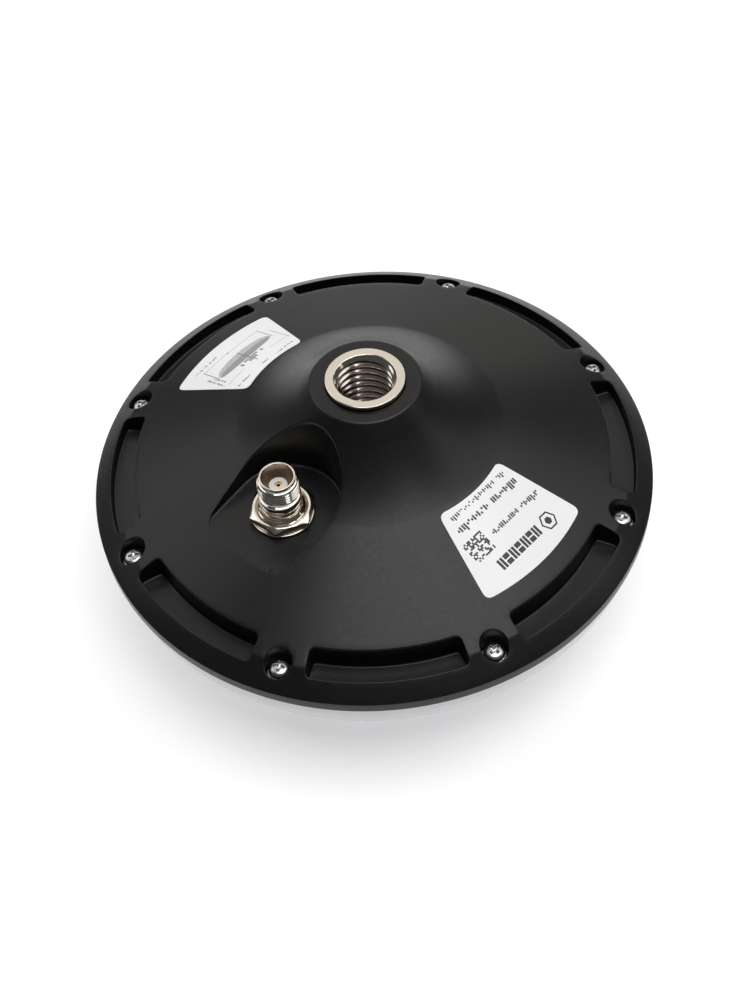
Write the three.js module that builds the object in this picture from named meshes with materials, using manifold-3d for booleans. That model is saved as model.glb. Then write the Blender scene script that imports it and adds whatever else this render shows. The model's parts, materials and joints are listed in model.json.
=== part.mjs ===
// GNSS survey antenna, lying on its radome with the threaded boss up.
// Millimetres, +Z up, origin under the middle of the radome, cable connector on the -Y side.
import * as THREE from 'three';
import { mergeVertices } from 'three/addons/utils/BufferGeometryUtils.js';
import Module from 'manifold-3d';

const wasm = await Module();
wasm.setup();

// ---- Driving dimensions ----
const TOTAL_H = 62.2; // radome apex to the face of the threaded insert
const RIM_R = 76; // outer radius of the base
const GAP = 0.3; // clearance between neighbouring pieces

// base: joint plane, conical back and the boss that carries the insert
const SEAM_Z = 24.6;
const RIM_TOP_Z = 27.7; // upper edge of the upright rim face
const CREASE = { r: 69.5, z: 32.1 }; // where the cone meets the steeper outer band
const CONE_SLOPE = 0.384;
const FLANK = { outerR: 35.2, topR: 18.1, topZ: 57.26, controlR: 26.8, controlZ: 49.3 };
const SHOULDER = { r: 14.9, z: 60.46 };
const BOSS_TOP_Z = 61.1;
const WALL_UPRIGHT = 3.3; // base wall, measured along Z
const FLANK_WALL_UPRIGHT = 4.2;
const HOLLOW_R = 62.5; // inside of the solid rim
const CORE = { r: 12.5, bottomZ: 34.8, topZ: 54 }; // solid column around the insert

// radome
const RADOME_TOP_Z = SEAM_Z - GAP;
const RADOME_R = 75.2;
const RADOME_WALL = 2.2;
const REST_FLAT_R = 10;
const DOME_MIDDLE = { r: 58, z: 4.6, controlR: 36, controlZ: 1.6 }; // end of the shallow curve
const DOME_SIDE = { controlR: 66, controlZ: 6, bulgeZ: 12, edge: 0.7 }; // bend up to the joint plane
const RIM_BAR = { innerR: 71.8, height: 3 }; // thickened edge under the joint plane

// perimeter seal in a groove under the rim
const SEAL = { innerR: 73, outerR: 74.4, height: 1.1 };

// eight lightening slots and eight cover screws, alternating round the rim
const RIM_COUNT = 8;
const SLOT = { innerR: 64.4, outerR: 71.3, halfSpan: 16.55, cornerR: 1.7, floorZ: 27.1 };
const SCREW_PCD_R = 69.4;
const COUNTERBORE = { r: 3.7, floorZ: 26.5 };
const SCREW = { shankR: 1.5, headR: 2.75, headZ: 28.5, topZ: 30, tipZ: 15.8 };
const WASHER = { outerR: 3.2, thickness: 0.5 };
const SPRING_WASHER = { outerR: 2.8, thickness: 0.6 };
const SCREW_POST = { r: 4, bottomZ: 8, pilotZ: 15.3 };

// threaded insert, 5/8-11 UNC
const INSERT = { flangeR: 10.4, bodyR: 9, flangeZ: 60.1, bottomZ: 38.3, boreR: 6.9, boreZ: 40.3 };
const INSERT_MOUTH = { r: 8.15, depth: 1.25 }; // lead-in cone down to the thread crests

// connector pocket and TNC jack
const JACK_Y = -33.7;
const POCKET = { centreY: -32, archR: 14.9, padZ: 39.34, endR: 51, cornerR: 4.5, wall: 2.6, taper: 6 };
const PAD_BOTTOM_Z = POCKET.padZ - WALL_UPRIGHT;
const JACK = { topZ: 54.3, lipR: 4.65, boreR: 4.1, boreZ: 45, coreR: 2.6, panelR: 6.35, panelTopZ: 43.3 };
const JACK_THREAD = { r: 5.55, bottomZ: 48.5, topZ: 52.9 };
const JACK_NECK = { collarR: 5.5, collarTopZ: 47.5, reliefR: 4.95, reliefTopZ: 48.3 };
const JACK_LIP = { rootR: 4.45, rootZ: 53.3, bottomZ: 53.8 };
const JACK_FLANGE = { r: 8.6, bottomZ: 32.5, topZ: 34.6 };
const DIELECTRIC = { boreR: 1.2, r: 2.4, bottomZ: 31.5, topZ: 51.1, flangeR: 3.8, flangeZ: 45.3 };
const CONTACT = { r: 0.9, boreR: 0.45, boreZ: 47, bottomZ: 26.5, topZ: 50.8 };
const JACK_O_RING = { r: 7.3, sectionR: 0.55 };
const NUT = { acrossFlats: 15.5, thickness: 2.2, turn: 3 };
const JACK_WASHER = { r: 8.3, thickness: 0.5 };

// labels on the cone
const LABEL = { length: 23, halfSpan: 18.25, cornerR: 2, thickness: 0.25 };
const LABEL_SPEC = { azimuth: -1.1, innerR: 36.4 };
const LABEL_DIAGRAM = { azimuth: 181.65, innerR: 35.3 };
const LABEL_SHEET = { innerR: 30, outerR: 66 }; // the cone strip that the labels are cut from

// antenna stack held under the base by four screws
const PLATE = { r: 61, bottomZ: 17.4, thickness: 1.5 };
const BOARD = { r: 58, thickness: 1.6 };
const LOWER_PATCH = { r: 46, bottomZ: 11.4, thickness: 1.6 };
const UPPER_PATCH = { r: 32, bottomZ: 6, thickness: 1.6 };
const SPACER_R = 5;
const FEED = { circleR: 14, pinR: 0.6, bottomZ: 5.4, topZ: 21.6 };
const STACK_SCREW = { circleR: 52, shankR: 1.25, headR: 2.3, headH: 1.6, tipZ: 27.5 };
const STACK_BOSS_R = 3.6;
const CAN = { x: 40, y: 30, height: 4, wall: 0.5, centreY: 12 };
const PIGTAIL = { r: 1.1, topZ: 26, bendZ: 24.8, length: 13, lift: 1.5 };

// facets round a full turn
const BODY_FACETS = 48;
const SMALL_FACETS = 24;

const coneZ = (r) => CREASE.z + CONE_SLOPE * (CREASE.r - r);
const radians = THREE.MathUtils.degToRad;
const polar = (r, azimuth) => [r * Math.cos(radians(azimuth)), r * Math.sin(radians(azimuth))];
const slotAzimuth = (index) => (index * 360) / RIM_COUNT;
const screwAzimuth = (index) => ((index + 0.5) * 360) / RIM_COUNT;
const quarterAzimuth = (index) => 45 + index * 90;

// ---- Geometry helpers ----

// Keeps shared positions only, drops collapsed triangles and turns the faces outward.
function closed(geometry) {
  const bare = geometry.clone();
  bare.deleteAttribute('normal');
  bare.deleteAttribute('uv');
  const merged = mergeVertices(bare, 1e-4);
  const index = merged.index.array;
  const position = merged.attributes.position;
  const corner = [new THREE.Vector3(), new THREE.Vector3(), new THREE.Vector3()];
  const kept = [];
  let volume = 0;
  for (let i = 0; i < index.length; i += 3) {
    const ids = [index[i], index[i + 1], index[i + 2]];
    if (new Set(ids).size < 3) continue;
    kept.push(...ids);
    ids.forEach((id, n) => corner[n].fromBufferAttribute(position, id));
    volume += corner[0].dot(corner[1].cross(corner[2]));
  }
  if (volume < 0) kept.reverse();
  merged.setIndex(kept);
  return merged;
}

function solid(geometry) {
  const mesh = closed(geometry);
  const vertProperties = new Float32Array(mesh.attributes.position.array);
  const triVerts = new Uint32Array(mesh.index.array);
  return new wasm.Manifold(new wasm.Mesh({ numProp: 3, vertProperties, triVerts }));
}

function geometryOf(manifold) {
  const mesh = manifold.getMesh();
  const geometry = new THREE.BufferGeometry();
  geometry.setAttribute('position', new THREE.Float32BufferAttribute(mesh.vertProperties, 3));
  geometry.setIndex(Array.from(mesh.triVerts));
  return geometry;
}

// Turns a (radius, height) path about Z. The path starts and ends on the axis, or closes itself.
function revolve(path, facets = SMALL_FACETS, curveSteps = 6) {
  return new THREE.LatheGeometry(path.getPoints(curveSteps), facets).rotateX(Math.PI / 2);
}

function path(startR, startZ) {
  return new THREE.Path().moveTo(startR, startZ);
}

function disc(r, bottomZ, topZ, facets = SMALL_FACETS) {
  return revolve(path(0, bottomZ).lineTo(r, bottomZ).lineTo(r, topZ).lineTo(0, topZ), facets);
}

function ring(innerR, outerR, bottomZ, topZ, facets = SMALL_FACETS) {
  const section = path(innerR, bottomZ).lineTo(outerR, bottomZ).lineTo(outerR, topZ);
  return revolve(section.lineTo(innerR, topZ).lineTo(innerR, bottomZ), facets);
}

function circle(x, y, r, facets) {
  const at = (i) => polar(r, (i * 360) / facets);
  return Array.from({ length: facets }, (_, i) => new THREE.Vector2(x + at(i)[0], y + at(i)[1]));
}

function prism(shape, bottomZ, topZ, curveSegments = 6) {
  const options = { depth: topZ - bottomZ, bevelEnabled: false, curveSegments };
  return new THREE.ExtrudeGeometry(shape, options).translate(0, 0, bottomZ);
}

// A piece of a ring in plan, centred on the +X axis, with radial sides and rounded corners.
function sector(innerR, outerR, halfSpan, cornerR) {
  const half = radians(halfSpan);
  const outer = cornerR / outerR;
  const inner = cornerR / innerR;
  const at = (r, angle) => [r * Math.cos(angle), r * Math.sin(angle)];
  const shape = new THREE.Shape().moveTo(...at(innerR + cornerR, -half));
  shape.lineTo(...at(outerR - cornerR, -half));
  shape.quadraticCurveTo(...at(outerR, -half), ...at(outerR, -half + outer));
  shape.absarc(0, 0, outerR, -half + outer, half - outer, false);
  shape.quadraticCurveTo(...at(outerR, half), ...at(outerR - cornerR, half));
  shape.lineTo(...at(innerR + cornerR, half));
  shape.quadraticCurveTo(...at(innerR, half), ...at(innerR, half - inner));
  shape.absarc(0, 0, innerR, half - inner, -half + inner, true);
  shape.quadraticCurveTo(...at(innerR, -half), ...at(innerR + cornerR, -half));
  return shape;
}

// Arch-shaped pocket outline, grown outward by `grow`: round behind the jack, narrowing to the rim.
function pocketOutline(grow) {
  const archR = POCKET.archR + grow;
  const endY = -(POCKET.endR + grow);
  const cornerR = POCKET.cornerR + grow;
  const taper = radians(POCKET.taper);
  const tangent = [archR * Math.cos(taper), POCKET.centreY - archR * Math.sin(taper)];
  const sideX = (y) => tangent[0] + (y - tangent[1]) * Math.tan(taper);
  const shape = new THREE.Shape().moveTo(-tangent[0], tangent[1]);
  shape.absarc(0, POCKET.centreY, archR, Math.PI + taper, -taper, true);
  shape.lineTo(sideX(endY + cornerR), endY + cornerR);
  shape.quadraticCurveTo(sideX(endY), endY, sideX(endY) - cornerR, endY);
  shape.lineTo(cornerR - sideX(endY), endY);
  shape.quadraticCurveTo(-sideX(endY), endY, -sideX(endY + cornerR), endY + cornerR);
  shape.lineTo(-tangent[0], tangent[1]);
  return shape;
}

// ---- Pieces ----
const antenna = new THREE.Group();

const finishes = {
  blackPlastic: { color: 0x1f1f20, roughness: 0.5, metalness: 0 },
  whitePlastic: { color: 0xe9eaec, roughness: 0.35, metalness: 0 },
  rubber: { color: 0x111111, roughness: 0.9, metalness: 0 },
  nickel: { color: 0xc9bda8, roughness: 0.25, metalness: 1 },
  steel: { color: 0xb9bbbd, roughness: 0.3, metalness: 1 },
  gold: { color: 0xd8a446, roughness: 0.3, metalness: 1 },
  ptfe: { color: 0xf2efe6, roughness: 0.5, metalness: 0 },
  paper: { color: 0xf4f5f5, roughness: 0.3, metalness: 0 },
  laminate: { color: 0x1f5a34, roughness: 0.5, metalness: 0 },
  aluminium: { color: 0xc4c7ca, roughness: 0.4, metalness: 1 },
  nylon: { color: 0xe4e1d8, roughness: 0.6, metalness: 0 },
};

function add(name, geometry, finish) {
  const mesh = new THREE.Mesh(closed(geometry), new THREE.MeshStandardMaterial(finishes[finish]));
  mesh.name = name;
  antenna.add(mesh);
  return mesh;
}

function baseHousing() {
  const outside = path(0, SEAM_Z).lineTo(RIM_R - 0.3, SEAM_Z).lineTo(RIM_R, SEAM_Z + 0.3);
  outside.lineTo(RIM_R, RIM_TOP_Z);
  outside.lineTo(CREASE.r, CREASE.z);
  outside.lineTo(FLANK.outerR, coneZ(FLANK.outerR));
  outside.quadraticCurveTo(FLANK.controlR, FLANK.controlZ, FLANK.topR, FLANK.topZ);
  outside.lineTo(SHOULDER.r + 0.7, SHOULDER.z - 0.7);
  outside.quadraticCurveTo(SHOULDER.r, SHOULDER.z, SHOULDER.r - 0.9, BOSS_TOP_Z - 0.2);
  outside.lineTo(INSERT.flangeR + GAP, BOSS_TOP_Z).lineTo(0, BOSS_TOP_Z);
  const blank = solid(revolve(outside, BODY_FACETS, 3));

  const hollow = path(0, SEAM_Z - 1).lineTo(HOLLOW_R, SEAM_Z - 1);
  hollow.lineTo(HOLLOW_R, coneZ(HOLLOW_R) - WALL_UPRIGHT);
  hollow.lineTo(FLANK.outerR, coneZ(FLANK.outerR) - WALL_UPRIGHT);
  const flankUnderside = (z) => z - FLANK_WALL_UPRIGHT;
  hollow.quadraticCurveTo(
    FLANK.controlR,
    flankUnderside(FLANK.controlZ),
    FLANK.topR,
    flankUnderside(FLANK.topZ),
  );
  hollow.lineTo(CORE.r, CORE.topZ).lineTo(CORE.r, CORE.bottomZ).lineTo(0, CORE.bottomZ);

  let body = blank.subtract(solid(revolve(hollow, BODY_FACETS, 2)));
  const pocketCase = solid(prism(pocketOutline(POCKET.wall), PAD_BOTTOM_Z, TOTAL_H));
  body = body.add(pocketCase.intersect(blank));
  body = body.subtract(solid(prism(pocketOutline(0), POCKET.padZ, TOTAL_H)));

  for (let i = 0; i < 4; i += 1) {
    const [x, y] = polar(STACK_SCREW.circleR, quarterAzimuth(i));
    const topZ = coneZ(STACK_SCREW.circleR + STACK_BOSS_R) - 1;
    const bottomZ = PLATE.bottomZ + PLATE.thickness + BOARD.thickness + 2 * GAP;
    body = body.add(solid(disc(STACK_BOSS_R, bottomZ, topZ, 16).translate(x, y, 0)));
    const pilot = disc(STACK_SCREW.shankR + GAP, bottomZ - 1, STACK_SCREW.tipZ + 0.5, 12);
    body = body.subtract(solid(pilot.translate(x, y, 0)));
  }

  for (let i = 0; i < RIM_COUNT; i += 1) {
    const outline = sector(SLOT.innerR, SLOT.outerR, SLOT.halfSpan, SLOT.cornerR);
    const slot = prism(outline, SLOT.floorZ, TOTAL_H, 3).rotateZ(radians(slotAzimuth(i)));
    body = body.subtract(solid(slot));
    const [x, y] = polar(SCREW_PCD_R, screwAzimuth(i));
    const sunk = path(0, SEAM_Z - 1).lineTo(SCREW.shankR + GAP, SEAM_Z - 1);
    sunk.lineTo(SCREW.shankR + GAP, COUNTERBORE.floorZ).lineTo(COUNTERBORE.r, COUNTERBORE.floorZ);
    sunk.lineTo(COUNTERBORE.r, CREASE.z + 4).lineTo(0, CREASE.z + 4);
    body = body.subtract(solid(revolve(sunk, 14).translate(x, y, 0)));
  }

  const seat = path(0, INSERT.bottomZ - GAP).lineTo(INSERT.bodyR + GAP, INSERT.bottomZ - GAP);
  seat.lineTo(INSERT.bodyR + GAP, INSERT.flangeZ - GAP);
  seat.lineTo(INSERT.flangeR + GAP, INSERT.flangeZ - GAP);
  seat.lineTo(INSERT.flangeR + GAP, TOTAL_H).lineTo(0, TOTAL_H);
  body = body.subtract(solid(revolve(seat, 32)));

  const jackHole = disc(JACK.panelR + GAP, PAD_BOTTOM_Z - 1, POCKET.padZ + 1);
  body = body.subtract(solid(jackHole.translate(0, JACK_Y, 0)));

  const grooveTopZ = SEAM_Z + SEAL.height + GAP;
  const groove = ring(SEAL.innerR - GAP, SEAL.outerR + GAP, SEAM_Z - 1, grooveTopZ, BODY_FACETS);
  return geometryOf(body.subtract(solid(groove)));
}

// Shallow dome with a rounded side, the same curve inside and out, open at the joint plane.
function radome() {
  const dome = (inset, topZ, topBevel) => {
    const sideR = RADOME_R - inset;
    const middleR = DOME_MIDDLE.r - 0.3 * inset;
    const bendR = DOME_SIDE.controlR - 0.4 * inset;
    const edgeZ = RADOME_TOP_Z - DOME_SIDE.edge;
    const { controlR, controlZ, z } = DOME_MIDDLE;
    const curve = path(0, inset).lineTo(REST_FLAT_R, inset);
    curve.quadraticCurveTo(controlR, controlZ + inset, middleR, z + inset);
    curve.bezierCurveTo(bendR, DOME_SIDE.controlZ + inset, sideR, DOME_SIDE.bulgeZ, sideR, edgeZ);
    return curve.lineTo(sideR - topBevel, topZ).lineTo(0, topZ);
  };
  const outside = solid(revolve(dome(0, RADOME_TOP_Z, 0.3), BODY_FACETS, 5));
  const hollow = solid(revolve(dome(RADOME_WALL, RADOME_TOP_Z + 1, 0), BODY_FACETS, 4));
  const rimBar = ring(RIM_BAR.innerR, RADOME_R, RADOME_TOP_Z - RIM_BAR.height, RADOME_TOP_Z + 2, BODY_FACETS);
  let shell = outside.subtract(hollow.subtract(solid(rimBar)));
  for (let i = 0; i < RIM_COUNT; i += 1) {
    const [x, y] = polar(SCREW_PCD_R, screwAzimuth(i));
    const post = disc(SCREW_POST.r, SCREW_POST.bottomZ, RADOME_TOP_Z, 12).translate(x, y, 0);
    const pilot = disc(SCREW.shankR + GAP, SCREW_POST.pilotZ, RADOME_TOP_Z + 1, 10).translate(x, y, 0);
    shell = shell.add(solid(post).intersect(outside)).subtract(solid(pilot));
  }
  return geometryOf(shell);
}

function threadedInsert() {
  const half = path(0, INSERT.bottomZ).lineTo(INSERT.bodyR, INSERT.bottomZ);
  half.lineTo(INSERT.bodyR, INSERT.flangeZ).lineTo(INSERT.flangeR, INSERT.flangeZ);
  half.lineTo(INSERT.flangeR, TOTAL_H - 0.2).lineTo(INSERT.flangeR - 0.2, TOTAL_H);
  half.lineTo(INSERT_MOUTH.r, TOTAL_H).lineTo(INSERT.boreR, TOTAL_H - INSERT_MOUTH.depth);
  half.lineTo(INSERT.boreR, INSERT.boreZ).lineTo(0, INSERT.boreZ);
  return revolve(half, 32);
}

// Pan-head screw with a cross recess, standing head up, its tip at z = tipZ.
function panScrew({ shankR, headR, headZ, topZ, tipZ }) {
  const half = path(0, tipZ).lineTo(shankR * 0.5, tipZ).lineTo(shankR, tipZ + 0.8);
  half.lineTo(shankR, headZ).lineTo(headR, headZ).lineTo(headR, headZ + (topZ - headZ) * 0.5);
  half.quadraticCurveTo(headR - 0.1, topZ, headR * 0.55, topZ).lineTo(0, topZ);
  const arm = [headR * 1.15, headR * 0.24, 1.6];
  const along = solid(new THREE.BoxGeometry(arm[0], arm[1], arm[2]).translate(0, 0, topZ));
  const across = solid(new THREE.BoxGeometry(arm[1], arm[0], arm[2]).translate(0, 0, topZ));
  return geometryOf(solid(revolve(half, 14, 2)).subtract(along.add(across)));
}

function jackBody() {
  const half = path(JACK.coreR, JACK_FLANGE.bottomZ).lineTo(JACK_FLANGE.r, JACK_FLANGE.bottomZ);
  half.lineTo(JACK_FLANGE.r, JACK_FLANGE.topZ).lineTo(JACK.panelR, JACK_FLANGE.topZ);
  half.lineTo(JACK.panelR, JACK.panelTopZ).lineTo(JACK_NECK.collarR, JACK.panelTopZ + 0.4);
  half.lineTo(JACK_NECK.collarR, JACK_NECK.collarTopZ);
  half.lineTo(JACK_NECK.reliefR, JACK_NECK.collarTopZ + 0.2);
  half.lineTo(JACK_NECK.reliefR, JACK_NECK.reliefTopZ).lineTo(JACK_THREAD.r, JACK_THREAD.bottomZ);
  half.lineTo(JACK_THREAD.r, JACK_THREAD.topZ).lineTo(JACK_THREAD.r - 0.5, JACK_LIP.rootZ);
  half.lineTo(JACK_LIP.rootR, JACK_LIP.rootZ).lineTo(JACK_LIP.rootR, JACK_LIP.bottomZ - 0.2);
  half.lineTo(JACK.lipR, JACK_LIP.bottomZ).lineTo(JACK.lipR, JACK.topZ).lineTo(JACK.boreR, JACK.topZ);
  half.lineTo(JACK.boreR, JACK.boreZ).lineTo(JACK.coreR, JACK.boreZ);
  return revolve(half.lineTo(JACK.coreR, JACK_FLANGE.bottomZ)).translate(0, JACK_Y, 0);
}

function jackDielectric() {
  const { boreR, r, bottomZ, topZ, flangeR, flangeZ } = DIELECTRIC;
  const half = path(boreR, bottomZ).lineTo(JACK.coreR - GAP, bottomZ).lineTo(JACK.coreR - GAP, flangeZ);
  half.lineTo(flangeR, flangeZ).lineTo(flangeR, flangeZ + 1).lineTo(r, flangeZ + 1).lineTo(r, topZ);
  return revolve(half.lineTo(boreR, topZ).lineTo(boreR, bottomZ), 16).translate(0, JACK_Y, 0);
}

function jackContact() {
  const { r, boreR, boreZ, bottomZ, topZ } = CONTACT;
  const half = path(0, bottomZ).lineTo(r, bottomZ).lineTo(r, topZ).lineTo(boreR, topZ);
  return revolve(half.lineTo(boreR, boreZ).lineTo(0, boreZ), 12).translate(0, JACK_Y, 0);
}

function jackSeal() {
  const middleZ = (JACK_FLANGE.topZ + PAD_BOTTOM_Z) / 2;
  const section = new THREE.Path().absarc(JACK_O_RING.r, middleZ, JACK_O_RING.sectionR, 0, 2 * Math.PI);
  return revolve(section, SMALL_FACETS, 3).translate(0, JACK_Y, 0);
}

// Hex nut with its upper corners turned off at 30 degrees.
function hexNut() {
  const bottomZ = POCKET.padZ + 2 * GAP + JACK_WASHER.thickness;
  const topZ = bottomZ + NUT.thickness;
  const cornerR = NUT.acrossFlats / Math.sqrt(3);
  const outline = new THREE.Shape(circle(0, 0, cornerR, 6));
  const hex = solid(prism(outline, bottomZ, topZ).rotateZ(radians(NUT.turn)));
  const crown = path(0, bottomZ).lineTo(cornerR + 0.5, bottomZ).lineTo(cornerR + 0.5, topZ - 0.9);
  crown.lineTo(NUT.acrossFlats / 2 - 0.3, topZ).lineTo(0, topZ);
  const bore = solid(disc(JACK.panelR + GAP, bottomZ - 1, topZ + 1));
  const nut = hex.intersect(solid(revolve(crown, 36))).subtract(bore);
  return geometryOf(nut).translate(0, JACK_Y, 0);
}

function jackWasher() {
  const bottomZ = POCKET.padZ + GAP;
  const flat = ring(JACK.panelR + GAP, JACK_WASHER.r, bottomZ, bottomZ + JACK_WASHER.thickness);
  return flat.translate(0, JACK_Y, 0);
}

// Thin sheet that follows the cone, its outline a ring sector with rounded corners.
function label(place) {
  const { innerR, outerR } = LABEL_SHEET;
  const high = GAP + LABEL.thickness;
  const section = path(innerR, coneZ(innerR) + GAP).lineTo(outerR, coneZ(outerR) + GAP);
  section.lineTo(outerR, coneZ(outerR) + high).lineTo(innerR, coneZ(innerR) + high);
  const sheet = solid(revolve(section.lineTo(innerR, coneZ(innerR) + GAP), BODY_FACETS));
  const outline = sector(place.innerR, place.innerR + LABEL.length, LABEL.halfSpan, LABEL.cornerR);
  const cutter = solid(prism(outline, SEAM_Z, TOTAL_H, 4).rotateZ(radians(place.azimuth)));
  return geometryOf(sheet.intersect(cutter));
}

// Round sheet with clearance holes: the feed pins always, the stack screws where it reaches them.
function stackDisc({ r, thickness }, bottomZ, heldByScrews) {
  const shape = new THREE.Shape(circle(0, 0, r, 40));
  const hole = ([x, y], holeR) => shape.holes.push(new THREE.Path(circle(x, y, holeR, 8)));
  for (let i = 0; i < 4; i += 1) {
    hole(polar(FEED.circleR, quarterAzimuth(i)), FEED.pinR + GAP);
    if (heldByScrews) hole(polar(STACK_SCREW.circleR, quarterAzimuth(i)), STACK_SCREW.shankR + GAP);
  }
  return prism(shape, bottomZ, bottomZ + thickness);
}

function shieldCan(bottomZ) {
  const outer = new THREE.BoxGeometry(CAN.x, CAN.y, CAN.height);
  const inner = new THREE.BoxGeometry(CAN.x - 2 * CAN.wall, CAN.y - 2 * CAN.wall, CAN.height);
  const lid = solid(outer.translate(0, CAN.centreY, bottomZ + CAN.height / 2));
  const room = solid(inner.translate(0, CAN.centreY, bottomZ + CAN.height / 2 - CAN.wall));
  return geometryOf(lid.subtract(room));
}

// Short coaxial lead from the back of the jack to the board.
function coaxPigtail(boardTopZ) {
  const route = new THREE.CatmullRomCurve3([
    new THREE.Vector3(0, JACK_Y, PIGTAIL.topZ),
    new THREE.Vector3(0, JACK_Y + 0.4, PIGTAIL.bendZ),
    new THREE.Vector3(0, JACK_Y + PIGTAIL.length / 2, boardTopZ + PIGTAIL.lift + 0.1),
    new THREE.Vector3(0, JACK_Y + PIGTAIL.length, boardTopZ + PIGTAIL.lift),
  ]);
  const section = new THREE.Shape(circle(0, 0, PIGTAIL.r, 8));
  return new THREE.ExtrudeGeometry(section, { steps: 12, extrudePath: route });
}

add('radome', radome(), 'whitePlastic');
add('base_housing', baseHousing(), 'blackPlastic');
add('perimeter_seal', ring(SEAL.innerR, SEAL.outerR, SEAM_Z, SEAM_Z + SEAL.height, BODY_FACETS), 'rubber');
add('thread_insert', threadedInsert(), 'nickel');

for (let i = 0; i < RIM_COUNT; i += 1) {
  const [x, y] = polar(SCREW_PCD_R, screwAzimuth(i));
  const screw = add(`cover_screw_${i + 1}`, panScrew(SCREW), 'steel');
  screw.position.set(x, y, 0);
  screw.rotation.z = radians(37 * i);
  const low = COUNTERBORE.floorZ + GAP;
  const flat = ring(SCREW.shankR + GAP, WASHER.outerR, low, low + WASHER.thickness, 14);
  add(`cover_washer_${i + 1}`, flat, 'steel').position.set(x, y, 0);
  const springZ = low + WASHER.thickness + GAP;
  const topZ = springZ + SPRING_WASHER.thickness;
  const spring = ring(SCREW.shankR + GAP, SPRING_WASHER.outerR, springZ, topZ, 14);
  add(`spring_washer_${i + 1}`, spring, 'steel').position.set(x, y, 0);
}

add('label_spec', label(LABEL_SPEC), 'paper');
add('label_diagram', label(LABEL_DIAGRAM), 'paper');

add('tnc_body', jackBody(), 'nickel');
add('tnc_dielectric', jackDielectric(), 'ptfe');
add('tnc_center_contact', jackContact(), 'gold');
add('tnc_o_ring', jackSeal(), 'rubber');
add('tnc_washer', jackWasher(), 'nickel');
add('tnc_hex_nut', hexNut(), 'nickel');

const boardZ = PLATE.bottomZ + PLATE.thickness + GAP;
const boardTopZ = boardZ + BOARD.thickness;
add('ground_plate', stackDisc(PLATE, PLATE.bottomZ, true), 'aluminium');
add('lna_board', stackDisc(BOARD, boardZ, true), 'laminate');
add('lower_patch', stackDisc(LOWER_PATCH, LOWER_PATCH.bottomZ, false), 'laminate');
add('upper_patch', stackDisc(UPPER_PATCH, UPPER_PATCH.bottomZ, false), 'laminate');
const lowerPatchTop = LOWER_PATCH.bottomZ + LOWER_PATCH.thickness;
const upperPatchTop = UPPER_PATCH.bottomZ + UPPER_PATCH.thickness;
add('lower_spacer', disc(SPACER_R, lowerPatchTop + GAP, PLATE.bottomZ - GAP), 'nylon');
add('upper_spacer', disc(SPACER_R, upperPatchTop + GAP, LOWER_PATCH.bottomZ - GAP), 'nylon');
add('shield_can', shieldCan(boardTopZ + GAP), 'steel');
add('coax_pigtail', coaxPigtail(boardTopZ), 'gold');

for (let i = 0; i < 4; i += 1) {
  const pin = add(`feed_pin_${i + 1}`, disc(FEED.pinR, FEED.bottomZ, FEED.topZ, 10), 'gold');
  pin.position.set(...polar(FEED.circleR, quarterAzimuth(i)), 0);
  const { shankR, headR, headH, tipZ } = STACK_SCREW;
  const turned = { shankR, headR, headZ: 0, topZ: headH, tipZ: PLATE.bottomZ - GAP - tipZ };
  const screw = add(`stack_screw_${i + 1}`, panScrew(turned), 'steel');
  screw.rotation.x = Math.PI;
  screw.position.set(...polar(STACK_SCREW.circleR, quarterAzimuth(i)), PLATE.bottomZ - GAP);
}

export default antenna;
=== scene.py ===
# GNSS survey antenna lying on its radome: fine pieces, materials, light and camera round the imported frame.
import math
import json
import random

import bpy
import bmesh
import numpy as np
from mathutils import Matrix, Vector, kdtree
from mathutils.geometry import delaunay_2d_cdt


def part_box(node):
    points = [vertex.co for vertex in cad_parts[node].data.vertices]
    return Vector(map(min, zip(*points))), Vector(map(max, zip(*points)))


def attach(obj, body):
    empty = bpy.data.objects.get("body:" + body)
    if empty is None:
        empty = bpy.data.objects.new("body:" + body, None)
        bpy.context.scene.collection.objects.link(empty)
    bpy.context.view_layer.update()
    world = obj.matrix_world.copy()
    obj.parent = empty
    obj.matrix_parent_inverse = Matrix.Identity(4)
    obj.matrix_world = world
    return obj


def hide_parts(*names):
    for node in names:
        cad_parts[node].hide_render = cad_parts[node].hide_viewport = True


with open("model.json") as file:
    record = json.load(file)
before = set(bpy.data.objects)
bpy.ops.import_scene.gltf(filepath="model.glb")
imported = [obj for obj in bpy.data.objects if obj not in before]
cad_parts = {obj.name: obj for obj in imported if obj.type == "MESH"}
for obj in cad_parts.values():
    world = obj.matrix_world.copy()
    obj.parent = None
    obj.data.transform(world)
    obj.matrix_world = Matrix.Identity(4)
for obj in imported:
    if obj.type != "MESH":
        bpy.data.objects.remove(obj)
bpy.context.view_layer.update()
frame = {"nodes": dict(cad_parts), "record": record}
BODY = "root"
MM = 0.001  # every size below is in millimetres; meshes are scaled by this once
TAU = 2 * math.pi


def box_mm(node):
    """Lowest and highest corner of a CAD node, in millimetres."""
    low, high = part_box(node)
    return np.array(low) / MM, np.array(high) / MM


def centre_mm(node):
    low, high = box_mm(node)
    return (low + high) / 2


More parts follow.
